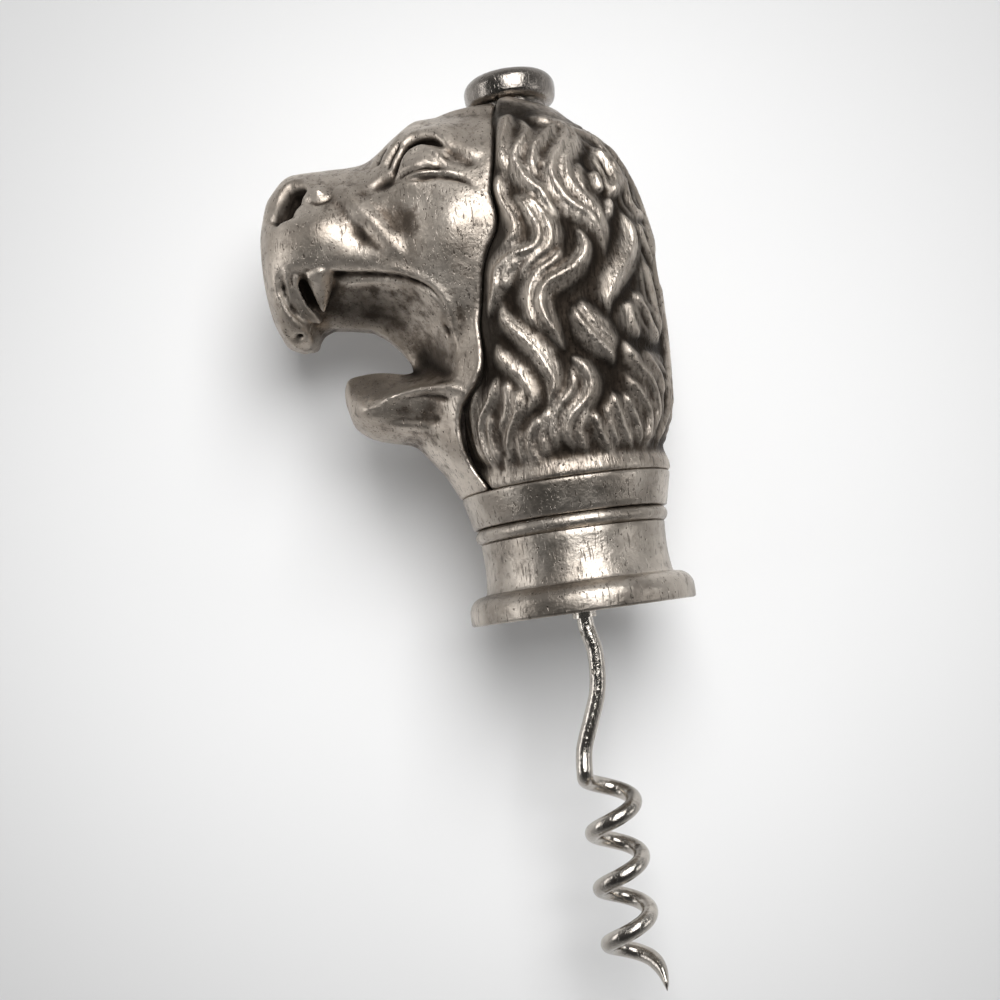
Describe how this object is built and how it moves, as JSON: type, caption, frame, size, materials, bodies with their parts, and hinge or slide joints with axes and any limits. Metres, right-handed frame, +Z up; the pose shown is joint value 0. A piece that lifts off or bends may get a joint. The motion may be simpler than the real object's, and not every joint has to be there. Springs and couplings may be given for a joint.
{
  "type": "corkscrew",
  "caption": "Corkscrew with a cast lion's-head handle, a turned collar, a round screw knob and a right-hand wire worm.",
  "frame": {"origin": "centre of the collar's flat foot, where the worm leaves it", "axes": "+Z up the spindle from the worm to the knob, -X the way the lion faces, Y across the head"},
  "size_m": [0.0649, 0.0414, 0.1512],
  "materials": {
    "cast_silver": "aged silver plate, dark in the recesses",
    "turned_silver": "worn satin silver plate",
    "knob_silver": "tarnished, polished by handling",
    "worm_steel": "bright nickel plate",
    "spindle_steel": "plain turned steel"
  },
  "bodies": {
    "handle": {"face_shell": "cast_silver", "mane_shell": "cast_silver", "neck_band": "turned_silver", "bead_ring": "turned_silver", "foot_spool": "turned_silver", "foot_plate": "turned_silver", "coupling_nut": "spindle_steel", "tie_rod": "spindle_steel"},
    "knob_seat": {"knob_washer": "spindle_steel"},
    "knob": {"knob": "knob_silver"},
    "shank_seat": {"shank_bush": "worm_steel"},
    "worm": {"worm": "worm_steel"}
  },
  "joints": [
    {"name": "knob_turn", "type": "hinge", "parent": "handle", "child": "knob_seat", "pos_m": [0, 0, 0.0839], "axis": [0, 0, 1], "range_deg": [0, 1728]},
    {"name": "knob_lift", "type": "slide", "parent": "knob_seat", "child": "knob", "axis": [0, 0, 1], "range_m": [0, 0.0049]},
    {"name": "worm_turn", "type": "hinge", "parent": "handle", "child": "shank_seat", "pos_m": [0, 0, 0], "axis": [0, 0, -1], "range_deg": [0, 4320]},
    {"name": "worm_withdraw", "type": "slide", "parent": "shank_seat", "child": "worm", "axis": [0, 0, -1], "range_m": [0, 0.0061]}
  ],
  "couplings": [
    {"joint": "knob_lift", "follows": "knob_turn", "m_per_rad": 0.00015915},
    {"joint": "worm_withdraw", "follows": "worm_turn", "m_per_rad": 0.000079577}
  ]
}
